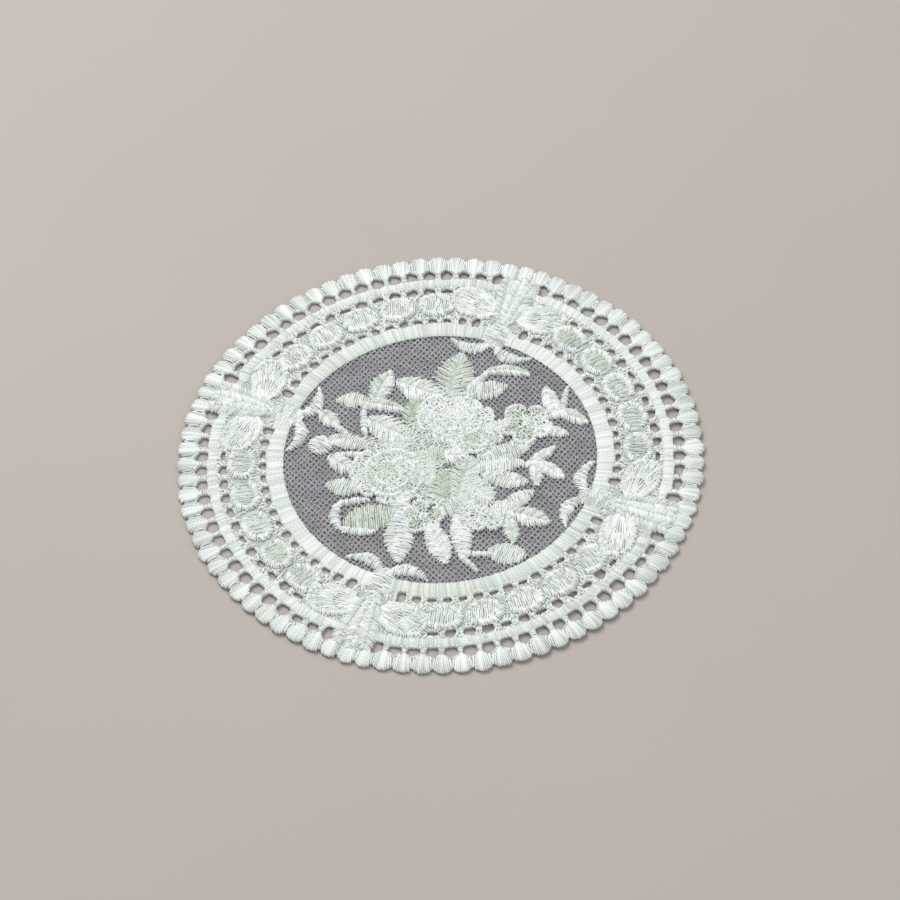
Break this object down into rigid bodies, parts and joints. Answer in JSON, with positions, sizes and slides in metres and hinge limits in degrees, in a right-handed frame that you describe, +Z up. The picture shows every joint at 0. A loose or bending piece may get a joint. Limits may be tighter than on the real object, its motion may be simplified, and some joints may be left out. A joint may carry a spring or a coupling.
{
  "type": "lace doily",
  "caption": "Small round embroidered lace doily: a tulle centre with a rose bouquet in an openwork border with ribbon bows and a scalloped edge, lying flat.",
  "frame": {"origin": "centre of the underside, on the surface that the doily rests on", "axes": "+Z up, through the doily's thickness; +X and +Y lie in its plane, with the long leaf at the top of the bouquet towards +Y"},
  "size_m": [0.1516, 0.1516, 0.0024],
  "materials": {
    "tulle": "fine nylon net, pale grey",
    "embroidery": "satin-stitched thread, white with a faint cool green tint"
  },
  "bodies": {
    "root": {"tulle_net": "tulle", "lace_border": "embroidery", "rose_bouquet": "embroidery"}
  },
  "joints": []
}
